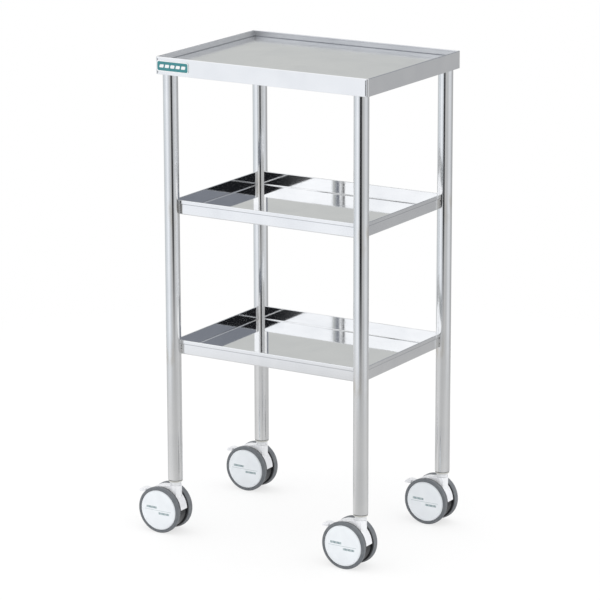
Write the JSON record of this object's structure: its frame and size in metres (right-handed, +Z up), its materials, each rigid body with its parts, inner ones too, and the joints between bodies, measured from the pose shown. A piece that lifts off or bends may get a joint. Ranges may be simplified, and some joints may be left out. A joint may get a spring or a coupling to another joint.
{
  "type": "instrument cart",
  "caption": "Three-tier stainless steel instrument cart with a shallow top tray, two lower trays and twin-wheel casters with brake pedals.",
  "frame": {"origin": "on the floor, under the middle of the cart's bounding box with its casters trailing towards -X", "axes": "+Z up, +X along the front towards the cart's right, +Y from the front to the back"},
  "size_m": [0.4494, 0.3212, 0.812],
  "materials": {
    "satin_steel": "fine satin stainless steel",
    "mirror_steel": "mirror bright annealed stainless steel",
    "tube_steel": "polished stainless steel tube",
    "badge_enamel": "printed teal label with a white edge",
    "white_plastic": "moulded white nylon",
    "black_plastic": "moulded black nylon",
    "grey_tyre": "grey non-marking elastomer",
    "plated_steel": "bright zinc plate"
  },
  "bodies": {
    "root": {"top_tray": "satin_steel", "middle_tray": "mirror_steel", "bottom_tray": "mirror_steel", "badge": "badge_enamel", "leg_front_left": "tube_steel", "caster_socket_front_left": "white_plastic", "caster_stem_front_left": "plated_steel", "leg_front_right": "tube_steel", "caster_socket_front_right": "white_plastic", "caster_stem_front_right": "plated_steel", "leg_back_left": "tube_steel", "caster_socket_back_left": "white_plastic", "caster_stem_back_left": "plated_steel", "leg_back_right": "tube_steel", "caster_socket_back_right": "white_plastic", "caster_stem_back_right": "plated_steel"},
    "swivel_front_left": {"caster_hood_front_left": "white_plastic", "caster_frame_front_left": "black_plastic", "axle_front_left": "plated_steel", "brake_pin_front_left": "plated_steel"},
    "brake_front_left": {"brake_pedal_front_left": "white_plastic"},
    "wheel_front_left_a": {"wheel_core_front_left_a": "black_plastic", "tyre_front_left_a": "grey_tyre", "hub_cap_front_left_a": "white_plastic"},
    "wheel_front_left_b": {"wheel_core_front_left_b": "black_plastic", "tyre_front_left_b": "grey_tyre", "hub_cap_front_left_b": "white_plastic"},
    "swivel_front_right": {"caster_hood_front_right": "white_plastic", "caster_frame_front_right": "black_plastic", "axle_front_right": "plated_steel", "brake_pin_front_right": "plated_steel"},
    "brake_front_right": {"brake_pedal_front_right": "white_plastic"},
    "wheel_front_right_a": {"wheel_core_front_right_a": "black_plastic", "tyre_front_right_a": "grey_tyre", "hub_cap_front_right_a": "white_plastic"},
    "wheel_front_right_b": {"wheel_core_front_right_b": "black_plastic", "tyre_front_right_b": "grey_tyre", "hub_cap_front_right_b": "white_plastic"},
    "swivel_back_left": {"caster_hood_back_left": "white_plastic", "caster_frame_back_left": "black_plastic", "axle_back_left": "plated_steel", "brake_pin_back_left": "plated_steel"},
    "brake_back_left": {"brake_pedal_back_left": "white_plastic"},
    "wheel_back_left_a": {"wheel_core_back_left_a": "black_plastic", "tyre_back_left_a": "grey_tyre", "hub_cap_back_left_a": "white_plastic"},
    "wheel_back_left_b": {"wheel_core_back_left_b": "black_plastic", "tyre_back_left_b": "grey_tyre", "hub_cap_back_left_b": "white_plastic"},
    "swivel_back_right": {"caster_hood_back_right": "white_plastic", "caster_frame_back_right": "black_plastic", "axle_back_right": "plated_steel", "brake_pin_back_right": "plated_steel"},
    "brake_back_right": {"brake_pedal_back_right": "white_plastic"},
    "wheel_back_right_a": {"wheel_core_back_right_a": "black_plastic", "tyre_back_right_a": "grey_tyre", "hub_cap_back_right_a": "white_plastic"},
    "wheel_back_right_b": {"wheel_core_back_right_b": "black_plastic", "tyre_back_right_b": "grey_tyre", "hub_cap_back_right_b": "white_plastic"}
  },
  "joints": [
    {"name": "swivel_front_left", "type": "hinge", "parent": "root", "child": "swivel_front_left", "pos_m": [-0.15575, -0.136, 0.0804], "axis": [0, 0, 1], "continuous": true},
    {"name": "wheel_front_left_a", "type": "hinge", "parent": "swivel_front_left", "child": "wheel_front_left_a", "pos_m": [-0.17625, -0.136, 0.04], "axis": [0, 1, 0], "continuous": true},
    {"name": "wheel_front_left_b", "type": "hinge", "parent": "swivel_front_left", "child": "wheel_front_left_b", "pos_m": [-0.17625, -0.136, 0.04], "axis": [0, 1, 0], "continuous": true},
    {"name": "brake_front_left", "type": "hinge", "parent": "swivel_front_left", "child": "brake_front_left", "pos_m": [-0.18525, -0.136, 0.0645], "axis": [0, -1, 0], "range_deg": [0, 12]},
    {"name": "swivel_front_right", "type": "hinge", "parent": "root", "child": "swivel_front_right", "pos_m": [0.20525, -0.136, 0.0804], "axis": [0, 0, 1], "continuous": true},
    {"name": "wheel_front_right_a", "type": "hinge", "parent": "swivel_front_right", "child": "wheel_front_right_a", "pos_m": [0.18475, -0.136, 0.04], "axis": [0, 1, 0], "continuous": true},
    {"name": "wheel_front_right_b", "type": "hinge", "parent": "swivel_front_right", "child": "wheel_front_right_b", "pos_m": [0.18475, -0.136, 0.04], "axis": [0, 1, 0], "continuous": true},
    {"name": "brake_front_right", "type": "hinge", "parent": "swivel_front_right", "child": "brake_front_right", "pos_m": [0.17575, -0.136, 0.0645], "axis": [0, -1, 0], "range_deg": [0, 12]},
    {"name": "swivel_back_left", "type": "hinge", "parent": "root", "child": "swivel_back_left", "pos_m": [-0.15575, 0.136, 0.0804], "axis": [0, 0, 1], "continuous": true},
    {"name": "wheel_back_left_a", "type": "hinge", "parent": "swivel_back_left", "child": "wheel_back_left_a", "pos_m": [-0.17625, 0.136, 0.04], "axis": [0, 1, 0], "continuous": true},
    {"name": "wheel_back_left_b", "type": "hinge", "parent": "swivel_back_left", "child": "wheel_back_left_b", "pos_m": [-0.17625, 0.136, 0.04], "axis": [0, 1, 0], "continuous": true},
    {"name": "brake_back_left", "type": "hinge", "parent": "swivel_back_left", "child": "brake_back_left", "pos_m": [-0.18525, 0.136, 0.0645], "axis": [0, -1, 0], "range_deg": [0, 12]},
    {"name": "swivel_back_right", "type": "hinge", "parent": "root", "child": "swivel_back_right", "pos_m": [0.20525, 0.136, 0.0804], "axis": [0, 0, 1], "continuous": true},
    {"name": "wheel_back_right_a", "type": "hinge", "parent": "swivel_back_right", "child": "wheel_back_right_a", "pos_m": [0.18475, 0.136, 0.04], "axis": [0, 1, 0], "continuous": true},
    {"name": "wheel_back_right_b", "type": "hinge", "parent": "swivel_back_right", "child": "wheel_back_right_b", "pos_m": [0.18475, 0.136, 0.04], "axis": [0, 1, 0], "continuous": true},
    {"name": "brake_back_right", "type": "hinge", "parent": "swivel_back_right", "child": "brake_back_right", "pos_m": [0.17575, 0.136, 0.0645], "axis": [0, -1, 0], "range_deg": [0, 12]}
  ]
}
